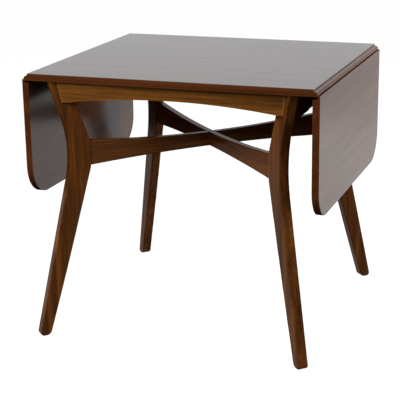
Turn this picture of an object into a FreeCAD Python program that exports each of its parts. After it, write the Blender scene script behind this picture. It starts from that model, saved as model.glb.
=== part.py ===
"""Drop-leaf table on four boomerang legs: a fixed top with a rule-jointed leaf hung at each end,
short butterfly brackets folded on the side rails, and a crossed pair of waisted stretchers.

Millimetres. X runs from leaf to leaf, Y from front to back, Z up from the floor; the origin is on the floor,
under the middle of the top. The leaves hang down. The table is alike when turned half round about Z, so what
is on the left is made as its right-hand twin and turned.
"""
import FreeCAD, Part
import os
import re
from math import atan2, sqrt

import Sketcher

# Driving dimensions. The base is a square frame of rails: its reach is from the table's middle to the outer
# face of an end rail. Reaches of legs and stretchers run along the floor's diagonal.
SIZES = {
    "table_height": 750,
    "frame_reach": 343,
    "end_overhang": 57,
    "front_overhang": 17,
    "board_thickness": 19,
    "board_arris": 2,
    # Rule joint: a quarter-round edge on the top, turning in a cove on the leaf about the hinge pin.
    "rule_fillet": 5,
    "rule_gap": 1,
    "pin_height": 3,
    "leaf_gap": 0.6,
    "leaf_reach": 333,
    "leaf_corner": 85,
    # Legs. The knee's height is a share of the leg's.
    "leg_thickness": 30,
    "leg_head_proud": 5,
    "leg_head_width": 50,
    "leg_knee_share": 0.736,
    "leg_knee_set_in": 64,
    "leg_knee_radius": 340,
    "leg_knee_width": 48,
    "leg_shoulder_lip": 5,
    "leg_shin_radius": 16000,
    "leg_foot_splay": 62,
    "leg_foot_width": 32,
    "leg_toe_radius": 10,
    "leg_heel_radius": 17,
    "leg_arris": 4,
    # Rails.
    "rail_thickness": 28,
    "rail_depth": 60,
    "rail_lean": 9,
    "rail_arch": 21,
    "rail_shoulder": 24,
    "side_rail_setback": 17,
    "side_rail_thickness": 22,
    "side_rail_depth": 85,
    # Crossed stretchers.
    "stretcher_thickness": 22,
    "stretcher_drop": 55,
    "stretcher_depth": 71,
    "stretcher_dip": 19,
    "stretcher_rise": 12,
    "stretcher_arris": 3,
    "halving_gap": 0.1,
    # Corner blocks.
    "block_height": 36,
    "block_length": 65,
    "block_clearance": 23,
    # Dowels.
    "dowel_radius": 4,
    "dowel_seat": 16,
    "dowel_tail": 22,
    "dowel_gap": 0.1,
    "rail_dowel_drop": 15,
    "rail_dowel_pitch": 26,
    "stretcher_dowel_pitch": 36,
    # Rule-joint hinges.
    "hinge_width": 42,
    "hinge_end_distance": 170,
    "top_flap_length": 30,
    "leaf_flap_length": 46,
    "plate_thickness": 1.6,
    "pin_radius": 1.3,
    "pin_play": 0.05,
    "knuckle_gap": 0.3,
    "recess_gap": 0.3,
    # Butterfly brackets and their hinges.
    "wing_length": 113,
    "wing_height": 70,
    "wing_thickness": 14,
    "wing_corner": 28,
    "wing_drop": 1,
    "wing_leg_gap": 2.8,
    "wing_end_gap": 4,
    "wing_hinge_height": 44,
    "wing_plate_length": 24,
    "wing_barrel_radius": 2.5,
    # Wood screws.
    "screw_head_radius": 2.9,
    "screw_shank_radius": 1.5,
    "screw_length": 12,
    "screw_tip": 3,
    "screw_slot_width": 0.8,
    "screw_slot_depth": 0.7,
    "top_screw_bite": 13,
    "screw_gap": 0.05,
    # How far a cut runs past what it cuts.
    "overrun": 5,
}

# Where the screws stand in a hinge plate, as shares of its length and of its width from the middle.
TOP_FLAP_SCREW_SHARE = 0.6
LEAF_FLAP_SCREW_SHARE = 0.72
WING_PLATE_SCREW_SHARE = 0.62
SCREW_SPREAD_SHARE = 0.28
# Each hinge barrel has three knuckles of a third of its width.
KNUCKLE_SHARE = 1 / 3

doc = FreeCAD.newDocument("drop_leaf_table")
sheet = doc.addObject("Spreadsheet::Sheet", "sizes")
for row, (word, value) in enumerate(SIZES.items(), start=1):
    sheet.set(f"A{row}", word)
    sheet.set(f"B{row}", str(value))
    sheet.setAlias(f"B{row}", word)
doc.recompute()

# Sums that several pieces share, written in the sheet's words.
UNDERSIDE = "(table_height - board_thickness)"
HALF_DEPTH = "(frame_reach + front_overhang)"
PIN_X = "(frame_reach + end_overhang)"
PIN_Z = "(table_height - board_thickness + pin_height)"
RULE_RADIUS = "(board_thickness - rule_fillet - pin_height)"
LEAF_INNER = f"({PIN_X} - pin_height)"
LEG_SIDE = "(leg_thickness / sqrt(2))"
LEG_HEAD = "(frame_reach * sqrt(2) + leg_head_proud)"
LEG_KNEE = f"({LEG_HEAD} - leg_knee_set_in)"
KNEE_HEIGHT = f"({UNDERSIDE} * leg_knee_share)"
LEG_SHOULDER = f"({LEG_KNEE} - leg_knee_width)"
LEG_FOOT = f"({LEG_HEAD} + leg_foot_splay)"
RAIL_INNER = "(frame_reach - rail_thickness)"
RAIL_LOW = f"({UNDERSIDE} - rail_depth)"
SIDE_RAIL = "(frame_reach - side_rail_setback)"
SIDE_RAIL_INNER = f"({SIDE_RAIL} - side_rail_thickness)"
STRETCHER_LOW = f"({KNEE_HEIGHT} - stretcher_drop)"
STRETCHER_TOP = f"({STRETCHER_LOW} + stretcher_depth)"
WING_PIN_X = f"({SIDE_RAIL} + wing_barrel_radius)"
WING_BACK = f"({WING_PIN_X} + wing_barrel_radius)"
WING_TOP = f"({UNDERSIDE} - wing_drop)"
# The bracket's pin stands as near to the leg as an opened bracket allows.
OPEN_WING_ROOM = "(wing_barrel_radius + wing_thickness + wing_leg_gap)"
WING_PIN_Y = f"({WING_PIN_X} + wing_end_gap - {LEG_SIDE} - {OPEN_WING_ROOM})"

HALF_TURN = 180
X_AXIS = FreeCAD.Vector(1, 0, 0)
Y_AXIS = FreeCAD.Vector(0, 1, 0)
Z_AXIS = FreeCAD.Vector(0, 0, 1)
nodes = []


def size(expression):
    """The value of a sum of sizes."""
    return float(sheet.evalExpression(expression))


def bound(expression):
    """The same sum, with each word as a cell of the sheet."""
    return re.sub(r"[a-z_]+", lambda word: f"sizes.{word[0]}" if word[0] in SIZES else word[0], expression)


def spot(across, along, up):
    return FreeCAD.Vector(size(across), size(along), size(up))


def at_spot(point):
    """A place at a point, unturned."""
    return FreeCAD.Placement(point, FreeCAD.Rotation())


def turned(degrees):
    """A turn about the table's upright middle line."""
    return FreeCAD.Placement(FreeCAD.Vector(), FreeCAD.Rotation(Z_AXIS, degrees))


def keep(obj, label, degrees=0):
    """Names a finished sub-part and, where it isn't placed yet, turns it to its corner or end."""
    if degrees:
        obj.Placement = turned(degrees)
    obj.Label = label
    nodes.append(obj)
    return obj


def new_body(label):
    return doc.addObject("PartDesign::Body", label + "_blank")


def sketch_on(body, name, role, height="0"):
    """An empty sketch on one of the body's own planes, raised along the plane's normal."""
    sketch = body.newObject("Sketcher::SketchObject", name)
    plane = next(feature for feature in body.Origin.OriginFeatures if feature.Role == role)
    sketch.AttachmentSupport = (plane, [""])
    sketch.MapMode = "FlatFace"
    sketch.setExpression("AttachmentOffset.Base.z", bound(height))
    return sketch


def arc_between(start, end, radius, bend):
    """The shorter arc of a radius from start to end, which bends to the left (1) or to the right (-1)."""
    chord = end - start
    left = FreeCAD.Vector(-chord.y, chord.x, 0).normalize()
    centre = (start + end) / 2 + left * bend * sqrt(radius ** 2 - (chord.Length / 2) ** 2)
    ends = (start, end) if bend > 0 else (end, start)
    angles = [atan2(point.y - centre.y, point.x - centre.x) for point in ends]
    return Part.ArcOfCircle(Part.Circle(centre, Z_AXIS, radius), *angles)


def outline(sketch, corners):
    """Draws a closed outline and binds it to the sheet. A corner is (across, up), or (across, up, radius,
    bend) where an arc leads on from it."""
    points = [FreeCAD.Vector(size(corner[0]), size(corner[1]), 0) for corner in corners]
    heads = []
    for corner, here, there in zip(corners, points, points[1:] + points[:1]):
        if len(corner) == 2:
            sketch.addGeometry(Part.LineSegment(here, there))
            heads.append(1)
        else:
            sketch.addGeometry(arc_between(here, there, size(corner[2]), corner[3]))
            heads.append(1 if corner[3] > 0 else 2)
    rules, texts = [], []

    def rule(text, *terms):
        rules.append(Sketcher.Constraint(*terms))
        texts.append(text)

    for edge, corner in enumerate(corners):
        after = (edge + 1) % len(corners)
        rule(None, "Coincident", edge, 3 - heads[edge], after, heads[after])
        for kind, axis, text in (("DistanceX", -2, corner[0]), ("DistanceY", -1, corner[1])):
            if text == "0":
                rule(None, "PointOnObject", edge, heads[edge], axis)
            else:
                rule(text, kind, -1, 1, edge, heads[edge], size(text))
        if len(corner) > 2:
            rule(corner[2], "Radius", edge, size(corner[2]))
    for index, text in zip(sketch.addConstraint(rules), texts):
        if text:
            sketch.setExpression(f"Constraints[{index}]", bound(text))
    return sketch


def extrude(body, kind, name, sketch, length, both_ways=False):
    """Pads or pockets a sketch, on one side of its plane or evenly on both."""
    feature = body.newObject(kind, name)
    feature.Profile = sketch
    feature.setExpression("Length", bound(length))
    feature.SideType = "Symmetric" if both_ways else "One side"
    return feature


def soften(body, base, name, radius, wanted):
    """Rounds the edges of a feature that the test wanted picks."""
    doc.recompute()
    feature = body.newObject("PartDesign::Fillet", name)
    feature.Base = (base, [f"Edge{k}" for k, edge in enumerate(base.Shape.Edges, start=1) if wanted(edge)])
    feature.setExpression("Radius", bound(radius))
    return feature


def spans(edge, axis):
    """How far an edge reaches along X, Y or Z."""
    box = edge.BoundBox
    return {"x": box.XLength, "y": box.YLength, "z": box.ZLength}[axis]


def slab(low, high):
    """A box between two corners, for recesses and notches."""
    reach = high - low
    return Part.makeBox(reach.x, reach.y, reach.z, low)


def bore(mouth, depth, direction, radius):
    return Part.makeCylinder(radius, depth, mouth, direction)


def group(label, shapes, degrees=0):
    """Like pieces that share a node, each its own solid."""
    obj = doc.addObject("Part::Feature", label)
    obj.Shape = Part.makeCompound(shapes)
    return keep(obj, label, degrees)


def cut_away(label, blank, tools, degrees=0, skew=0):
    """A body less its recesses, notches and bores, turned to its end; skew is a diagonal piece's own turn."""
    waste = doc.addObject("Part::Feature", label + "_waste")
    waste.Shape = Part.makeCompound(tools)
    waste.Placement = turned(degrees)
    blank.Placement = turned(degrees + skew)
    cut = doc.addObject("Part::Cut", label)
    cut.Base = blank
    cut.Tool = waste
    return keep(cut, label)


def hinge_rows():
    """The hinges' places along the rule joint: one in the middle and one towards each end."""
    pitch = size(f"{HALF_DEPTH} - hinge_end_distance")
    return [-pitch, 0, pitch]


def screw_shape(length):
    """A slotted countersunk wood screw that points up, with the face of its head at the origin."""
    head, shank, tip = size("screw_head_radius"), size("screw_shank_radius"), size("screw_tip")
    profile = Part.makePolygon([FreeCAD.Vector(x, 0, z) for x, z in (
        (0, 0), (head, 0), (shank, head - shank), (shank, length - tip), (0, length), (0, 0))])
    half, deep = size("screw_slot_width / 2"), size("screw_slot_depth")
    slot = slab(FreeCAD.Vector(-head, -half, -deep), FreeCAD.Vector(head, half, deep))
    return Part.Face(profile).revolve(FreeCAD.Vector(), Z_AXIS, 2 * HALF_TURN).cut(slot)


def screw_bore(length):
    """The hole that a screw leaves in the wood and the plate round it."""
    gap = size("screw_gap")
    head, shank = size("screw_head_radius") + gap, size("screw_shank_radius") + gap
    sink = Part.makeCone(head, shank, head - shank)
    return sink.fuse(Part.makeCylinder(shank, length + gap))


def flap_shape(length, width, barrel, knuckles, screw_share, screws_from_back):
    """A hinge flap with its barrel along Y through the origin. The plate runs along +X, level with the bottom
    of the barrel; knuckles says which thirds of the barrel are its own, and the screws go in from below or
    above."""
    plate = size("plate_thickness")
    own = Part.makeBox(length, width, plate, FreeCAD.Vector(0, -width / 2, -barrel))
    own = own.fuse(bore(FreeCAD.Vector(0, -width / 2, 0), width, Y_AXIS, barrel))
    own = own.cut(bore(FreeCAD.Vector(0, -width / 2, 0), width, Y_AXIS, size("pin_radius + pin_play")))
    third, gap, room = width * KNUCKLE_SHARE, size("knuckle_gap"), barrel + size("knuckle_gap")
    for k in {0, 1, 2} - set(knuckles):
        start = -width / 2 + k * third - gap
        own = own.cut(slab(FreeCAD.Vector(-room, start, -room),
                           FreeCAD.Vector(room, start + third + 2 * gap, room)))
    for mouth, direction in flap_screws(length, width, barrel, screw_share, screws_from_back):
        hole = screw_bore(plate)
        hole.Placement = FreeCAD.Placement(mouth, FreeCAD.Rotation(Z_AXIS, direction))
        own = own.cut(hole)
    return own.removeSplitter()


def flap_screws(length, width, barrel, screw_share, screws_from_back):
    """Where a flap's two screws start and which way they point, in the flap's own place."""
    level = -barrel if screws_from_back else size("plate_thickness") - barrel
    direction = Z_AXIS if screws_from_back else -Z_AXIS
    spread = width * SCREW_SPREAD_SHARE
    return [(FreeCAD.Vector(length * screw_share, side * spread, level), direction) for side in (-1, 1)]


def top_flap_place(y):
    """The flap on the top lies flush in its underside and runs from the pin towards the middle."""
    return FreeCAD.Placement(FreeCAD.Vector(size(PIN_X), y, size(PIN_Z)), FreeCAD.Rotation(Z_AXIS, HALF_TURN))


def leaf_flap_place(y):
    """The flap on the leaf lies flush in its inner face and runs down from the pin."""
    pin = FreeCAD.Vector(size(PIN_X), y, size(PIN_Z))
    return FreeCAD.Placement(pin, FreeCAD.Rotation(Y_AXIS, HALF_TURN / 2))


def wing_hinge_place(end, on_rail):
    """A bracket's hinge stands upright by the leg at its end of the rail: one plate lies on the rail and the
    other on the back of the bracket."""
    back = X_AXIS if on_rail else -X_AXIS
    along = Y_AXIS * -end
    turn = FreeCAD.Rotation(along, back.cross(along), back, "ZXY")
    middle = spot(WING_PIN_X, f"{end} * {WING_PIN_Y}", f"{WING_TOP} - wing_height / 2")
    return FreeCAD.Placement(middle, turn)


def top_flap_sizes():
    return (size("top_flap_length"), size("hinge_width"), size("pin_height"), [0, 2],
            TOP_FLAP_SCREW_SHARE, True)


def leaf_flap_sizes():
    return size("leaf_flap_length"), size("hinge_width"), size("pin_height"), [1], LEAF_FLAP_SCREW_SHARE, True


def wing_plate_sizes(knuckles):
    return (size("wing_plate_length"), size("wing_hinge_height"), size("wing_barrel_radius"), knuckles,
            WING_PLATE_SCREW_SHARE, False)


def placed(shape, place):
    copy = shape.copy()
    copy.Placement = place.multiply(copy.Placement)
    return copy


def screws_of(flap_sizes, place, shape):
    """Copies of a screw, or of its bore, at a flap's two holes."""
    length, width, barrel, _, share, from_back = flap_sizes
    copies = []
    for mouth, direction in flap_screws(length, width, barrel, share, from_back):
        turn = FreeCAD.Rotation(Z_AXIS, direction)
        copies.append(placed(shape, place.multiply(FreeCAD.Placement(mouth, turn))))
    return copies


def block_corners(end):
    """The plan of a right-hand corner block, between the inner faces of the side rail and of an end rail."""
    side, rail = SIDE_RAIL_INNER, RAIL_INNER
    return [(f"{side} - block_length", f"{end} * {rail}"), (f"{side} - block_clearance", f"{end} * {rail}"),
            (side, f"{end} * ({rail} - block_clearance)"), (side, f"{end} * ({rail} - block_length)")]


def block_screw_spot(end):
    """A corner block's screw goes up through the middle of the block into the top."""
    corners = [spot(across, along, f"{UNDERSIDE} - block_height") for across, along in block_corners(end)]
    return sum(corners, FreeCAD.Vector()) / len(corners)


def top_screw_length():
    return size("block_height + top_screw_bite")


def rail_dowel_heights(staggered):
    """Two dowels at each end of a rail; those of the side rails stand half a pitch lower."""
    high = size(UNDERSIDE) - size("rail_dowel_drop") - staggered * size("rail_dowel_pitch") / 2
    return [high, high - size("rail_dowel_pitch")]


def stretcher_dowel_heights():
    middle = size(f"{STRETCHER_LOW} + stretcher_depth / 2")
    return [middle + side * size("stretcher_dowel_pitch") / 2 for side in (-1, 1)]


def end_rail_dowels(end, gap=0):
    """The dowels between an end rail and its right-hand leg, or with a gap their bores."""
    line = size("frame_reach - rail_thickness / 2")
    start = line - size(LEG_SIDE) - size("dowel_tail") - gap
    return [bore(FreeCAD.Vector(start, end * line, z), dowel_run(gap), X_AXIS, size("dowel_radius") + gap)
            for z in rail_dowel_heights(0)]


def side_rail_dowels(end, gap=0):
    """The dowels between the right-hand rail and the leg at one end of it, or with a gap their bores."""
    line = size(f"{SIDE_RAIL} - side_rail_thickness / 2")
    start = end * (line - size(LEG_SIDE) - size("dowel_tail") - gap)
    return [bore(FreeCAD.Vector(line, start, z), dowel_run(gap), Y_AXIS * end, size("dowel_radius") + gap)
            for z in rail_dowel_heights(1)]


def stretcher_dowels(end, gap=0):
    """The dowels between a stretcher and its right-hand leg, or with a gap their bores."""
    out = (X_AXIS + Y_AXIS * end).normalize()
    start = out * (size(f"{LEG_SHOULDER} - dowel_tail") - gap)
    return [bore(start + Z_AXIS * z, dowel_run(gap), out, size("dowel_radius") + gap)
            for z in stretcher_dowel_heights()]


def dowel_run(gap):
    return size("dowel_seat + dowel_tail") + 2 * gap


def both_ends(shapes):
    """Shapes, and their copies half round the table."""
    return shapes + [placed(shape, turned(HALF_TURN)) for shape in shapes]


def make_fixed_top():
    """The top board, with a quarter round and a small step along both ends."""
    body = new_body("fixed_top")
    out = f"{PIN_X} + {RULE_RADIUS}"
    step = f"{PIN_Z} + {RULE_RADIUS}"
    section = outline(sketch_on(body, "fixed_top_section", "XZ_Plane"), [
        (f"-({out})", UNDERSIDE), (out, UNDERSIDE), (out, PIN_Z, RULE_RADIUS, 1), (PIN_X, step),
        (PIN_X, "table_height"), (f"-{PIN_X}", "table_height"), (f"-{PIN_X}", step, RULE_RADIUS, 1),
        (f"-({out})", PIN_Z)])
    board = extrude(body, "PartDesign::Pad", "fixed_top_board", section, f"2 * {HALF_DEPTH}",
                    both_ways=True)
    top = size("table_height")
    soften(body, board, "fixed_top_arris", "board_arris",
           lambda edge: edge.BoundBox.ZMin > top - size("overrun") and spans(edge, "x") > size(PIN_X)
           and spans(edge, "z") < size("pin_play"))
    tools = []
    for y in hinge_rows():
        tools += top_recess(y)
        tools += screws_of(top_flap_sizes(), top_flap_place(y), screw_bore(size("screw_length")))
    for end in (-1, 1):
        tools.append(placed(screw_bore(top_screw_length()), at_spot(block_screw_spot(end))))
    cut_away("fixed_top", body, both_ends(tools))


def top_recess(y):
    """The seat of one hinge in the top: the flap's own bed, room for the barrel, and room at the edge for the
    leaf's flap when the leaf is up."""
    gap, over, low = size("recess_gap"), size("overrun"), size(UNDERSIDE)
    half = size("hinge_width") / 2 + gap
    pin, barrel, plate = size(PIN_X), size("pin_height"), size("plate_thickness")

    def room(x0, x1, height):
        return slab(FreeCAD.Vector(x0, y - half, low - over), FreeCAD.Vector(x1, y + half, low + height))

    bed = room(pin - size("top_flap_length") - gap, pin, plate)
    trench = room(pin - barrel - gap, pin + barrel + gap, 2 * barrel + gap)
    edge = room(pin, pin + size(RULE_RADIUS) + over, plate + gap)
    return [bed, trench, edge]


def make_leaf(label, degrees):
    """A leaf, hanging: a board with two round free corners, coved along its top for the rule joint."""
    body = new_body(label)
    half, top, low = HALF_DEPTH, f"({PIN_Z} - leaf_gap)", f"({PIN_Z} - leaf_reach)"
    face = outline(sketch_on(body, label + "_face", "YZ_Plane", LEAF_INNER), [
        (f"-{half}", top), (f"-{half}", f"{low} + leaf_corner", "leaf_corner", 1),
        (f"leaf_corner - {half}", low), (f"{half} - leaf_corner", low, "leaf_corner", 1),
        (half, f"{low} + leaf_corner"), (half, top)])
    board = extrude(body, "PartDesign::Pad", label + "_board", face, "board_thickness")
    outer, high = size(f"{LEAF_INNER} + board_thickness"), size(top)
    soften(body, board, label + "_arris", "board_arris",
           lambda edge: edge.BoundBox.XMin > outer - size("board_arris")
           and edge.BoundBox.ZMin < high - size("overrun"))
    past = f"({HALF_DEPTH} + overrun)"
    cove_radius = size(f"{RULE_RADIUS} + rule_gap")
    tools = [bore(spot(PIN_X, f"-{past}", PIN_Z), size(f"2 * {past}"), Y_AXIS, cove_radius)]
    for y in hinge_rows():
        tools.append(leaf_recess(y))
        tools += screws_of(leaf_flap_sizes(), leaf_flap_place(y), screw_bore(size("screw_length")))
    cut_away(label, body, tools, degrees)


def leaf_recess(y):
    """The bed of one hinge flap in the inner face of the leaf."""
    half = size("hinge_width / 2 + recess_gap")
    low = spot(f"{LEAF_INNER} - overrun", "0", f"{PIN_Z} - leaf_flap_length - recess_gap")
    high = spot(f"{LEAF_INNER} + plate_thickness", "0", PIN_Z)
    return slab(low + Y_AXIS * (y - half), high + Y_AXIS * (y + half))


def make_leg(label, end, degrees):
    """A leg: a flat board on the diagonal, bent at the knee, with a straight shoulder for the stretcher's end
    and a foot that is rounder at the heel than at the toe."""
    body = new_body(label)
    shoulder_low = f"({STRETCHER_LOW} - leg_shoulder_lip)"
    shoulder_high = f"({STRETCHER_TOP} + leg_shoulder_lip)"
    side = outline(sketch_on(body, label + "_side", "XZ_Plane"), [
        (f"{LEG_HEAD} - leg_head_width", UNDERSIDE), (LEG_SHOULDER, shoulder_high),
        (LEG_SHOULDER, shoulder_low, "leg_shin_radius", 1), (f"{LEG_FOOT} - leg_foot_width", "0"),
        (LEG_FOOT, "0"), (LEG_KNEE, KNEE_HEIGHT), (LEG_HEAD, UNDERSIDE)])
    board = extrude(body, "PartDesign::Pad", label + "_board", side, "leg_thickness", both_ways=True)
    tiny = size("pin_play")

    def at(edge, height):
        return spans(edge, "z") < tiny and spans(edge, "y") > tiny and abs(edge.BoundBox.ZMin - height) < tiny

    knee = soften(body, board, label + "_knee", "leg_knee_radius", lambda edge: at(edge, size(KNEE_HEIGHT)))
    sole = size(f"{LEG_FOOT} - leg_foot_width / 2")
    toe = soften(body, knee, label + "_toe", "leg_toe_radius",
                 lambda edge: at(edge, 0) and edge.BoundBox.XMin > sole)
    heel = soften(body, toe, label + "_heel", "leg_heel_radius",
                  lambda edge: at(edge, 0) and edge.BoundBox.XMax < sole)
    soften(body, heel, label + "_arris", "leg_arris",
           lambda edge: spans(edge, "y") < tiny and edge.BoundBox.ZMin < size(UNDERSIDE) - tiny)
    gap = size("dowel_gap")
    cut_away(label, body, end_rail_dowels(end, gap) + side_rail_dowels(end, gap) + stretcher_dowels(end, gap),
             degrees, end * HALF_TURN / 4)


def make_end_rail(label, degrees):
    """The front or back rail: its face leans in towards the bottom, its lower edge is an arch between two
    short shoulders, and its ends are mitred to the legs. Made as the front one."""
    body = new_body(label)
    plan = outline(sketch_on(body, label + "_plan", "XY_Plane", RAIL_LOW), [
        (f"{LEG_SIDE} - frame_reach", "-frame_reach"), (f"frame_reach - {LEG_SIDE}", "-frame_reach"),
        (f"{RAIL_INNER} - {LEG_SIDE}", f"-{RAIL_INNER}"), (f"{LEG_SIDE} - {RAIL_INNER}", f"-{RAIL_INNER}")])
    extrude(body, "PartDesign::Pad", label + "_board", plan, "rail_depth")
    lean = outline(sketch_on(body, label + "_lean", "YZ_Plane"), [
        ("-frame_reach", UNDERSIDE), ("-(frame_reach + overrun)", UNDERSIDE),
        ("-(frame_reach + overrun)", RAIL_LOW), ("rail_lean - frame_reach", RAIL_LOW)])
    extrude(body, "PartDesign::Pocket", label + "_leaning_face", lean, "frame_reach * 2", both_ways=True)
    half = f"(frame_reach - {LEG_SIDE} - rail_shoulder)"
    arch = outline(sketch_on(body, label + "_arch", "XZ_Plane"), [
        (f"-{half}", f"{RAIL_LOW} - overrun"), (half, f"{RAIL_LOW} - overrun"),
        (half, RAIL_LOW, f"({half} ^ 2 + rail_arch ^ 2) / (2 * rail_arch)", 1), (f"-{half}", RAIL_LOW)])
    through = "frame_reach * 2 + overrun"
    extrude(body, "PartDesign::Pocket", label + "_arched_edge", arch, through, both_ways=True)
    gap = size("dowel_gap")
    left = [placed(shape, turned(HALF_TURN)) for shape in end_rail_dowels(1, gap)]
    cut_away(label, body, end_rail_dowels(-1, gap) + left, degrees)


def make_side_rail(label, degrees):
    """A side rail, straight and upright, mitred to the legs. A bracket's hinge is screwed to each end."""
    body = new_body(label)
    long, short = f"({SIDE_RAIL} - {LEG_SIDE})", f"({SIDE_RAIL_INNER} - {LEG_SIDE})"
    plan = outline(sketch_on(body, label + "_plan", "XY_Plane", f"{UNDERSIDE} - side_rail_depth"), [
        (SIDE_RAIL, f"-{long}"), (SIDE_RAIL, long), (SIDE_RAIL_INNER, short),
        (SIDE_RAIL_INNER, f"-{short}")])
    extrude(body, "PartDesign::Pad", label + "_board", plan, "side_rail_depth")
    tools = []
    for end in (-1, 1):
        tools += side_rail_dowels(end, size("dowel_gap"))
        hole = screw_bore(size("screw_length"))
        tools += screws_of(wing_plate_sizes([0, 2]), wing_hinge_place(end, True), hole)
    cut_away(label, body, tools, degrees)


def make_stretcher(label, end, halved_from_above):
    """A stretcher on one diagonal, waisted towards the middle, where the two are halved across each other."""
    body = new_body(label)
    half, high, low = LEG_SHOULDER, STRETCHER_TOP, STRETCHER_LOW
    side = outline(sketch_on(body, label + "_side", "XZ_Plane"), [
        (f"-{half}", low, f"({half} ^ 2 + stretcher_rise ^ 2) / (2 * stretcher_rise)", -1), (half, low),
        (half, high, f"({half} ^ 2 + stretcher_dip ^ 2) / (2 * stretcher_dip)", -1), (f"-{half}", high)])
    bar = extrude(body, "PartDesign::Pad", label + "_bar", side, "stretcher_thickness", both_ways=True)
    soften(body, bar, label + "_arris", "stretcher_arris", lambda edge: spans(edge, "x") > size(half))
    middle = f"({STRETCHER_LOW} + (stretcher_depth + stretcher_rise - stretcher_dip) / 2)"
    across = size("stretcher_thickness / 2 + halving_gap")
    far = size(STRETCHER_TOP) if halved_from_above else size(low)
    levels = sorted((size(middle), far))
    notch = slab(FreeCAD.Vector(-across, -across, levels[0]), FreeCAD.Vector(across, across, levels[1]))
    notch = placed(notch, turned(HALF_TURN / 4))
    holes = both_ends(stretcher_dowels(end, size("dowel_gap")))
    cut_away(label, body, [notch] + holes, 0, end * HALF_TURN / 4)


def make_corner_block(label, end, degrees):
    """A glue block in the corner of two rails, with one screw up into the top."""
    body = new_body(label)
    level = f"{UNDERSIDE} - block_height"
    plan = outline(sketch_on(body, label + "_plan", "XY_Plane", level), block_corners(end))
    extrude(body, "PartDesign::Pad", label + "_wood", plan, "block_height")
    hole = placed(screw_bore(top_screw_length()), at_spot(block_screw_spot(end)))
    cut_away(label, body, [hole], degrees)


def make_wing(label, end, degrees):
    """A butterfly bracket, folded flat along the side rail: a small board with one round lower corner."""
    body = new_body(label)
    near = f"{end} * ({WING_PIN_Y} - wing_end_gap)"
    far = f"{end} * ({WING_PIN_Y} - wing_end_gap - wing_length)"
    low = f"({WING_TOP} - wing_height)"
    face = outline(sketch_on(body, label + "_face", "YZ_Plane", WING_BACK), [
        (near, WING_TOP), (near, low), (f"{far} + {end} * wing_corner", low, "wing_corner", -end),
        (far, f"{low} + wing_corner"), (far, WING_TOP)])
    extrude(body, "PartDesign::Pad", label + "_board", face, "wing_thickness")
    tools = screws_of(wing_plate_sizes([1]), wing_hinge_place(end, False), screw_bore(size("screw_length")))
    cut_away(label, body, tools, degrees)


def make_wing_hinges(corner, end, degrees):
    """The plate on a bracket's back, with its screws."""
    sizes, place = wing_plate_sizes([1]), wing_hinge_place(end, False)
    group(corner + "_wing_plate", [placed(flap_shape(*sizes), place)], degrees)
    group(corner + "_wing_screws", screws_of(sizes, place, screw_shape(size("screw_length"))), degrees)


def make_rail_plates(label, degrees):
    """The two hinge plates on a side rail, then their screws and the pins they hold."""
    sizes = wing_plate_sizes([0, 2])
    plates, screws, pins = [], [], []
    for end in (-1, 1):
        place = wing_hinge_place(end, True)
        plates.append(placed(flap_shape(*sizes), place))
        screws += screws_of(sizes, place, screw_shape(size("screw_length")))
        pins.append(placed(pin_shape("wing_hinge_height"), place))
    group(label + "_wing_rail_plates", plates, degrees)
    group(label + "_wing_rail_screws", screws, degrees)
    group(label + "_wing_pins", pins, degrees)


def pin_shape(width):
    """A hinge pin along Y, as long as its barrel."""
    return bore(spot("0", f"-{width} / 2", "0"), size(width), Y_AXIS, size("pin_radius"))


def make_leaf_hinges(side, degrees):
    """The three hinges of a rule joint: flaps on the top and on the leaf, pins, and the screws of both."""
    top, leaf, length = top_flap_sizes(), leaf_flap_sizes(), size("screw_length")
    rows = hinge_rows()
    group(side + "_top_flaps", [placed(flap_shape(*top), top_flap_place(y)) for y in rows], degrees)
    group(side + "_leaf_flaps", [placed(flap_shape(*leaf), leaf_flap_place(y)) for y in rows], degrees)
    group(side + "_hinge_pins", [placed(pin_shape("hinge_width"), top_flap_place(y)) for y in rows], degrees)
    in_top = [screw for y in rows for screw in screws_of(top, top_flap_place(y), screw_shape(length))]
    in_leaf = [screw for y in rows for screw in screws_of(leaf, leaf_flap_place(y), screw_shape(length))]
    group(side + "_top_flap_screws", in_top, degrees)
    group(side + "_leaf_flap_screws", in_leaf, degrees)


def make_dowels_and_top_screws():
    rails = end_rail_dowels(-1) + end_rail_dowels(1) + side_rail_dowels(-1) + side_rail_dowels(1)
    group("rail_dowels", both_ends(rails))
    group("stretcher_dowels", both_ends(stretcher_dowels(-1) + stretcher_dowels(1)))
    screw = screw_shape(top_screw_length())
    screws = [placed(screw, at_spot(block_screw_spot(end))) for end in (-1, 1)]
    group("top_screws", both_ends(screws))


# Each corner is made on the right, at the front (-1) or the back (1), and turned half round if it is on the
# left.
CORNERS = {"front_right": (-1, 0), "back_right": (1, 0),
           "back_left": (-1, HALF_TURN), "front_left": (1, HALF_TURN)}
SIDES = {"right": 0, "left": HALF_TURN}

make_fixed_top()
for side, degrees in SIDES.items():
    make_leaf(side + "_leaf", degrees)
    make_leaf_hinges(side, degrees)
    make_side_rail(side + "_rail", degrees)
    make_rail_plates(side, degrees)
make_end_rail("front_rail", 0)
make_end_rail("back_rail", HALF_TURN)
for corner, (end, degrees) in CORNERS.items():
    make_leg(corner + "_leg", end, degrees)
    make_corner_block(corner + "_corner_block", end, degrees)
    make_wing(corner + "_wing", end, degrees)
    make_wing_hinges(corner, end, degrees)
make_stretcher("lower_stretcher", 1, halved_from_above=True)
make_stretcher("upper_stretcher", -1, halved_from_above=False)
make_dowels_and_top_screws()
doc.recompute()

for obj in doc.Objects:
    if {"Invalid", "Error"} & set(obj.State):
        raise RuntimeError(f"{obj.Label} did not compute: {obj.State}")
for obj in nodes:
    if obj.Shape.isNull() or not obj.Shape.isValid():
        raise RuntimeError(f"{obj.Label} has no valid shape")

os.makedirs("parts", exist_ok=True)
for obj in nodes:
    obj.Shape.exportStep(f"parts/{obj.Label}.step")
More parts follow.
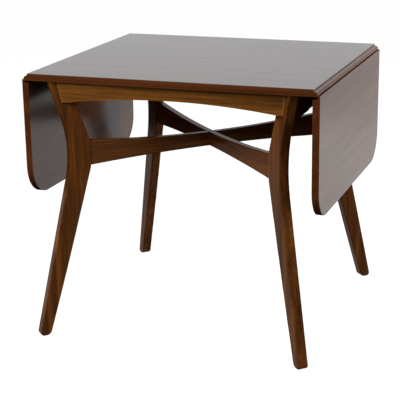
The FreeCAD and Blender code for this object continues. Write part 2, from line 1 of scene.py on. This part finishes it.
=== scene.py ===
import math

import bpy
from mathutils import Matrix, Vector

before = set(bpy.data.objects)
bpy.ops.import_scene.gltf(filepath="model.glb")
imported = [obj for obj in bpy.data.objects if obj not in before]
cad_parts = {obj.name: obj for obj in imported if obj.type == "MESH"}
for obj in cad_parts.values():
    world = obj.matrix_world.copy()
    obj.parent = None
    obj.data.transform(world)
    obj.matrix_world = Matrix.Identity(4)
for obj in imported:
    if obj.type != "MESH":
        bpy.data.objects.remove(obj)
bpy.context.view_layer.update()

# Legs. Each is one walnut board on the table's diagonal, sawn to a knee on the bandsaw, so the grain runs
# straight up it and comes out on the curves. The edges are rounded over, and the board is stained dark and
# lacquered.
CORNERS = ("front_left", "front_right", "back_left", "back_right")
UPRIGHT = (0, math.pi / 2, 0)
FRAME_STAIN = ("#341b09", "#5b3212", "#7f4d1b")


def srgb(hex_colour):
    """A written colour as the linear values that a shader takes."""
    parts = [int(hex_colour[k:k + 2], 16) / 255 for k in (1, 3, 5)]
    return [c / 12.92 if c <= 0.04045 else ((c + 0.055) / 1.055) ** 2.4 for c in parts] + [1]


def put(material, kind, inputs, **settings):
    """Adds a node with its settings. An input is a number, a colour or the socket that feeds it."""
    made = material.node_tree.nodes.new(kind)
    for name, value in settings.items():
        setattr(made, name, value)
    for name, value in inputs.items():
        if isinstance(value, bpy.types.NodeSocket):
            material.node_tree.links.new(value, made.inputs[name])
        else:
            made.inputs[name].default_value = value
    return made


def blank(name):
    """A material with an empty node tree."""
    made = bpy.data.materials.new(name)
    made.use_nodes = True
    made.node_tree.nodes.clear()
    return made


# Each part of the figure: its length along the grain and its width in metres, and the noise's detail.
FIGURE = {"drift": (0.5, 0.2, 1), "bands": (0.6, 0.025, 4),
          "fibres": (0.12, 0.003, 3), "pores": (0.016, 0.0011, 1)}
WAVINESS = 0.5
FIBRE_SHARE = 0.4


def walnut_figure(wood, place, turn):
    """The figure of walnut: bands of growth 25 mm wide, fibres 3 mm wide, and short pores, drawn three times
    as wide as real ones so that they show. turn takes the grain to the X axis."""
    along = put(wood, "ShaderNodeMapping", {"Vector": place.outputs["Object"], "Rotation": turn})
    figure = {}
    for part, (long, wide, detail) in FIGURE.items():
        laid = put(wood, "ShaderNodeMapping", {"Vector": along.outputs[0],
                                               "Scale": (1 / long, 1 / wide, 1 / wide)})
        noise = put(wood, "ShaderNodeTexNoise", {"Vector": laid.outputs[0], "Scale": 1, "Detail": detail,
                                                 "Distortion": WAVINESS})
        figure[part] = noise.outputs[0]
    streaks = put(wood, "ShaderNodeMix", {"Factor": FIBRE_SHARE, "A": figure["bands"],
                                          "B": figure["fibres"]})
    figure["streaks"] = streaks.outputs[0]
    return figure


# Where the dark, middle and pale stain lie on the streaks, and how the drift and the pores shade it.
DARK_STOP, MIDDLE_STOP, PALE_STOP = 0.34, 0.52, 0.68
DRIFT_SHADE = {"From Min": 0.3, "From Max": 0.7, "To Min": 0.8, "To Max": 1.15}
PORE_SHADE = {"From Min": 0.3, "From Max": 0.42, "To Min": 0.7, "To Max": 1}
# An arris is where another face of the board lies within this reach inside the wood.
ARRIS_REACH = 0.004
ARRIS_SPAN = {"From Min": 0.5, "From Max": 0.85}
# The paler colour of an arris: worn wood, with a painted highlight along the edge.
RUBBED_EDGE_AND_HIGHLIGHT = "#8a5626"


def stain_colour(wood, figure, stain, rub_and_highlight):
    """The stain's colour, dark to pale over the streaks. rub_and_highlight is how far the arrises turn to a
    paler
    colour: the worn wood under the stain, and a painted highlight along the edge."""
    tone = put(wood, "ShaderNodeValToRGB", {"Fac": figure["streaks"]})
    tone.color_ramp.elements[0].position = DARK_STOP
    tone.color_ramp.elements[1].position = PALE_STOP
    tone.color_ramp.elements.new(MIDDLE_STOP)
    for stop, colour in zip(tone.color_ramp.elements, stain):
        stop.color = srgb(colour)
    drift = put(wood, "ShaderNodeMapRange", {"Value": figure["drift"], **DRIFT_SHADE})
    pores = put(wood, "ShaderNodeMapRange", {"Value": figure["pores"], **PORE_SHADE})
    shade = put(wood, "ShaderNodeMath", {0: drift.outputs[0], 1: pores.outputs[0]}, operation="MULTIPLY")
    stained = put(wood, "ShaderNodeMix", {"Factor": 1, "A": tone.outputs[0], "B": shade.outputs[0]},
                  data_type="RGBA", blend_type="MULTIPLY")
    # Where another face lies close inside the wood, the stain turns paler: wear, and a painted highlight on
    # the arris.
    arris = put(wood, "ShaderNodeAmbientOcclusion", {"Distance": ARRIS_REACH},
                inside=True, only_local=True, samples=6)
    arris_rub_and_highlight = put(wood, "ShaderNodeMapRange", {"Value": arris.outputs["AO"], **ARRIS_SPAN,
                                           "To Min": rub_and_highlight, "To Max": 0})
    worn_and_highlighted = put(wood, "ShaderNodeMix", {"Factor": arris_rub_and_highlight.outputs[0], "A": stained.outputs["Result"],
                                       "B": srgb(RUBBED_EDGE_AND_HIGHLIGHT)}, data_type="RGBA")
    return worn_and_highlighted.outputs["Result"]


# The polish is a little fuller on the pale streaks, and thins out where a face turns away.
POLISH_SHARES = {"From Min": 0.35, "From Max": 0.65, "To Min": 0.93, "To Max": 1.04}
POLISH_SPREAD = {"From Min": 0.5, "From Max": 0.95}


def coat_and_painted_shade_weight(wood, place, figure, polished):
    """The weight of the coat, which also sets how far the painted shade tint under it darkens the stain.
    polished lists the ways in which a coated face looks, with the coat's weight on it."""
    rubbing = put(wood, "ShaderNodeMapRange", {"Value": figure["streaks"], **POLISH_SHARES})
    coat = 0
    for way, weight in polished:
        facing = put(wood, "ShaderNodeVectorMath", {0: place.outputs["Normal"], 1: way},
                     operation="DOT_PRODUCT")
        broad = put(wood, "ShaderNodeMapRange", {"Value": facing.outputs["Value"], **POLISH_SPREAD})
        full = put(wood, "ShaderNodeMath", {0: rubbing.outputs[0], 1: weight}, operation="MULTIPLY")
        layer = put(wood, "ShaderNodeMath", {0: broad.outputs[0], 1: full.outputs[0]}, operation="MULTIPLY")
        coat = put(wood, "ShaderNodeMath", {0: layer.outputs[0], 1: coat}, operation="MAXIMUM").outputs[0]
    return coat


LACQUER_ROUGHNESS = {"To Min": 0.31, "To Max": 0.43}
PORE_RELIEF = {"Strength": 0.06, "Distance": 0.0004}
# The coat's grey-blue tint is painted shade: it darkens the stain under the polish and cools it towards the
# mirrored room.
PAINTED_SHADE_TINT = "#aeb4ba"


def walnut(name, turn, stain, gloss, rub_and_highlight, polished=()):
    """Stained walnut: brown streaks with short dark pores, and arrises paler with wear and a painted
    highlight, under a lacquer that shines as much as gloss says, with a polish over it on some faces that
    darkens and cools the stain under it as painted shade."""
    wood = blank(name)
    place = put(wood, "ShaderNodeTexCoord", {})
    figure = walnut_figure(wood, place, turn)
    dull = put(wood, "ShaderNodeMapRange", {"Value": figure["fibres"], **LACQUER_ROUGHNESS})
    relief = put(wood, "ShaderNodeBump", {"Height": figure["pores"], **PORE_RELIEF})
    lacquer = put(wood, "ShaderNodeBsdfPrincipled", {
        "Base Color": stain_colour(wood, figure, stain, rub_and_highlight), "Roughness": dull.outputs[0],
        "Normal": relief.outputs[0], "IOR": 1.45, "Specular IOR Level": gloss,
        "Coat Weight": coat_and_painted_shade_weight(wood, place, figure, polished), "Coat IOR": 1.5,
        "Coat Roughness": 0.23, "Coat Tint": srgb(PAINTED_SHADE_TINT)})
    put(wood, "ShaderNodeOutputMaterial", {"Surface": lacquer.outputs[0]})
    return wood


def finish_pieces(material, *names):
    """Gives these CAD pieces their finish."""
    for name in names:
        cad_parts[name].material_slots[0].material = material


finish_pieces(walnut("lacquered_walnut_legs", UPRIGHT, FRAME_STAIN, gloss=0.05, rub_and_highlight=0.5),
              *(corner + "_leg" for corner in CORNERS))

# End rails. Two boards with an arched lower edge, their faces leaning in a little towards the bottom, mitred
# and doweled between the heads of the legs. Their stain has taken paler and more golden than on the legs.
ALONG = (0, 0, 0)
RAIL_STAIN = ("#41250c", "#75481b", "#9b692b")

finish_pieces(walnut("lacquered_walnut_end_rails", ALONG, RAIL_STAIN, gloss=0.05, rub_and_highlight=0.5),
              "front_rail", "back_rail")

# Side rails and butterfly brackets. Straight boards under the ends of the top, with a short board hinged to
# each end of each rail that swings out under a raised leaf. They are stained as the legs are, and have no
# lacquer.
ACROSS = (0, 0, math.pi / 2)

finish_pieces(walnut("stained_walnut_side_rails", ACROSS, FRAME_STAIN, gloss=0, rub_and_highlight=0.2),
              "left_rail", "right_rail", *(corner + "_wing" for corner in CORNERS))

# Stretchers. Two waisted bars from leg to leg on the diagonals, halved across each other in the middle. They
# are stained as the legs are and thinly lacquered, so that their upper edges catch the pale room.
UP = (0, 0, 1)
STRETCHER_EDGE_COAT = 0.45
STRETCHER_FACE_COAT = 0.12

for name, turn in (("lower_stretcher", -math.pi / 4), ("upper_stretcher", math.pi / 4)):
    side = Vector((math.sin(turn), math.cos(turn), 0))
    ways = [(UP, STRETCHER_EDGE_COAT), (side, STRETCHER_FACE_COAT), (-side, STRETCHER_FACE_COAT)]
    finish_pieces(walnut("lacquered_walnut_" + name, (0, 0, turn), FRAME_STAIN, gloss=0, rub_and_highlight=0.4,
                         polished=ways), name)

# Corner blocks and dowels. Plain beech, sawn and glued in where it doesn't show, with no stain on it: pale
# brown with short darker flecks, and little gloss.
FLECK_WIDTH = 0.0008
FLECK_LENGTH = 0.0025
FLECK_TONES = ((0.35, "#7d5733"), (0.6, "#a57c4e"))
SAW_RELIEF = {"Strength": 0.1, "Distance": 0.0003}

beech = blank("sawn_beech")
spot = put(beech, "ShaderNodeTexCoord", {})
upright = put(beech, "ShaderNodeMapping", {
    "Vector": spot.outputs["Object"], "Scale": (1 / FLECK_WIDTH, 1 / FLECK_WIDTH, 1 / FLECK_LENGTH)})
flecks = put(beech, "ShaderNodeTexNoise", {"Vector": upright.outputs[0], "Scale": 1, "Detail": 2})
fleck_tone = put(beech, "ShaderNodeValToRGB", {"Fac": flecks.outputs[0]})
for stop, (position, colour) in zip(fleck_tone.color_ramp.elements, FLECK_TONES):
    stop.position = position
    stop.color = srgb(colour)
saw_marks = put(beech, "ShaderNodeBump", {"Height": flecks.outputs[0], **SAW_RELIEF})
raw = put(beech, "ShaderNodeBsdfPrincipled", {
    "Base Color": fleck_tone.outputs[0], "Normal": saw_marks.outputs[0], "Roughness": 0.65, "IOR": 1.45,
    "Specular IOR Level": 0.2})
put(beech, "ShaderNodeOutputMaterial", {"Surface": raw.outputs[0]})
finish_pieces(beech, "rail_dowels", "stretcher_dowels", *(corner + "_corner_block" for corner in CORNERS))

# Top and leaves. Boards of the same walnut, the top screwed to the corner blocks from below and a leaf hinged
# at each end of it. They are stained darker and polished, the top's face most, so that they mirror the pale
# room at a low angle, and the polish's tint darkens and cools the stain as painted shade. The grain runs
# from end to end on the top and along the joint on the leaves.
TOP_STAIN = ("#40200c", "#4d2710", "#5b3014")
RIGHT, LEFT = (1, 0, 0), (-1, 0, 0)
TOP_COAT = 1
STEP_COAT = 0.4
LEAF_COAT = 0.65

finish_pieces(walnut("polished_walnut_top", ALONG, TOP_STAIN, gloss=0.05, rub_and_highlight=0.08,
                     polished=[(UP, TOP_COAT), (RIGHT, STEP_COAT), (LEFT, STEP_COAT)]), "fixed_top")
finish_pieces(walnut("polished_walnut_leaves", ACROSS, TOP_STAIN, gloss=0, rub_and_highlight=0.08,
                     polished=[(RIGHT, LEAF_COAT), (LEFT, LEAF_COAT)]), "left_leaf", "right_leaf")

# Hinges. Flaps of sheet brass let in flush under the top and behind the leaves, and upright plates on the
# side rails and brackets. The brass has gone brown with age, in patches that are duller than the rest.
SIDES = ("left", "right")
TARNISH_PATCH = 0.008


def spotted_metal(name, spot, detail, dark, pale, roughness):
    """Bare metal, darker in spots of this size in metres. dark and pale are each a place on the spots' noise
    and a colour, and roughness is that of the dark spots and that of the pale metal."""
    metal = blank(name)
    place = put(metal, "ShaderNodeTexCoord", {})
    spots = put(metal, "ShaderNodeTexNoise", {"Vector": place.outputs["Object"], "Scale": 1 / spot,
                                              "Detail": detail})
    tone = put(metal, "ShaderNodeValToRGB", {"Fac": spots.outputs[0]})
    for stop, (position, colour) in zip(tone.color_ramp.elements, (dark, pale)):
        stop.position = position
        stop.color = srgb(colour)
    dull = put(metal, "ShaderNodeMapRange", {"Value": spots.outputs[0], "To Min": roughness[0],
                                             "To Max": roughness[1]})
    bare = put(metal, "ShaderNodeBsdfPrincipled", {"Base Color": tone.outputs[0], "Metallic": 1,
                                                   "Roughness": dull.outputs[0]})
    put(metal, "ShaderNodeOutputMaterial", {"Surface": bare.outputs[0]})
    return metal


finish_pieces(spotted_metal("aged_brass", TARNISH_PATCH, detail=4, dark=(0.35, "#4a3519"),
                            pale=(0.7, "#8f6e35"), roughness=(0.55, 0.3)),
              *(corner + "_wing_plate" for corner in CORNERS),
              *(side + part for side in SIDES
                for part in ("_top_flaps", "_leaf_flaps", "_wing_rail_plates")))

# Hinge pins. Drawn steel wire, pressed through the knuckles of the hinges. It is grey and fairly bright,
# with faint darker spots.
WIRE_SPOT = 0.0012

finish_pieces(spotted_metal("drawn_steel_wire", WIRE_SPOT, detail=2, dark=(0, "#6d6963"),
                            pale=(1, "#a39f97"), roughness=(0.35, 0.35)),
              *(side + part for side in SIDES for part in ("_hinge_pins", "_wing_pins")))

# Screws. Slotted countersunk wood screws of plain turned steel, which hold the hinges and the top. Handling
# has browned them in small dull spots.
BROWN_SPOT = 0.0015

finish_pieces(spotted_metal("browned_steel", BROWN_SPOT, detail=3, dark=(0.3, "#4b4035"),
                            pale=(0.65, "#857f76"), roughness=(0.6, 0.35)),
              "top_screws", *(corner + "_wing_screws" for corner in CORNERS),
              *(side + part for side in SIDES
                for part in ("_top_flap_screws", "_leaf_flap_screws", "_wing_rail_screws")))

# Studio. A paper floor and a room, both seen as white by the camera and in reflections, that give off little
# light of their own. Four soft boxes light the table from the front, the right and behind, and don't show in
# the polish.
FLOOR_SIZE = 60
FLOOR_GREY = "#6c6c6c"
FLOOR_SEEN = 0.97
ROOM_LIGHT = 0.08
BOX_SIZE = 1.2
BOX_AIM = Vector((0, 0, 0.5))
# Each soft box's name, its place in metres and its watts.
BOXES = (("front_soft_box", (-0.45, -2.0, 1.95), 60), ("right_soft_box", (2.66, -0.71, 1.4), 18),
         ("back_right_soft_box", (2.0, 1.9, 0.9), 140), ("back_left_soft_box", (-2.58, 0.94, 0.8), 15))


def seen_rays(material):
    """1 for a ray that shows the surface to the eye, straight, in a mirror or through glass."""
    ray = put(material, "ShaderNodeLightPath", {})
    straight = put(material, "ShaderNodeMath", {0: ray.outputs["Is Camera Ray"],
                                                1: ray.outputs["Is Glossy Ray"]}, operation="MAXIMUM")
    return put(material, "ShaderNodeMath", {0: straight.outputs[0], 1: ray.outputs["Is Transmission Ray"]},
               operation="MAXIMUM").outputs[0]


bpy.ops.object.select_all(action="DESELECT")
bpy.ops.mesh.primitive_plane_add(size=FLOOR_SIZE)
floor = bpy.context.object
floor.name = "floor"
paper = blank("white_paper_floor")
glow_level = put(paper, "ShaderNodeMath", {0: seen_rays(paper), 1: FLOOR_SEEN}, operation="MULTIPLY")
glow = put(paper, "ShaderNodeEmission", {"Strength": glow_level.outputs[0]})
matt = put(paper, "ShaderNodeBsdfDiffuse", {"Color": srgb(FLOOR_GREY)})
both = put(paper, "ShaderNodeAddShader", {0: matt.outputs[0], 1: glow.outputs[0]})
put(paper, "ShaderNodeOutputMaterial", {"Surface": both.outputs[0]})
floor.data.materials.append(paper)

room = bpy.data.worlds.new("white_room")
bpy.context.scene.world = room
room.use_nodes = True
room.node_tree.nodes.clear()
wall_level = put(room, "ShaderNodeMapRange", {"Value": seen_rays(room), "To Min": ROOM_LIGHT, "To Max": 1})
wall = put(room, "ShaderNodeBackground", {"Strength": wall_level.outputs[0], "Color": (1, 1, 1, 1)})
put(room, "ShaderNodeOutputWorld", {"Surface": wall.outputs[0]})

for name, place, watts in BOXES:
    aim = (BOX_AIM - Vector(place)).to_track_quat("-Z", "Y").to_euler()
    bpy.ops.object.light_add(type="AREA", location=place, rotation=aim)
    box = bpy.context.object
    box.name = name
    box.data.size = BOX_SIZE
    box.data.energy = watts
    box.visible_camera = box.visible_glossy = False

# Camera. It stands a little right of the table's front and above it, tilted down and rolled by less than a
# degree. The focal length is in pixels of the square picture.
CAMERA_PLACE = (1.164, -3.296, 1.369)
CAMERA_TILT = math.radians(90 - 16.62)
CAMERA_TURN = math.radians(20.03)
CAMERA_ROLL = math.radians(-0.87)
SENSOR_WIDTH = 36
FOCAL_PIXELS = 1232
PICTURE_PIXELS = 400

bpy.ops.object.camera_add(location=CAMERA_PLACE, rotation=(CAMERA_TILT, 0, CAMERA_TURN))
camera = bpy.context.object
camera.name = "camera"
camera.rotation_euler.rotate_axis("Z", CAMERA_ROLL)
camera.data.lens = SENSOR_WIDTH * FOCAL_PIXELS / PICTURE_PIXELS
bpy.context.scene.camera = camera
bpy.context.scene.view_settings.view_transform = "Standard"
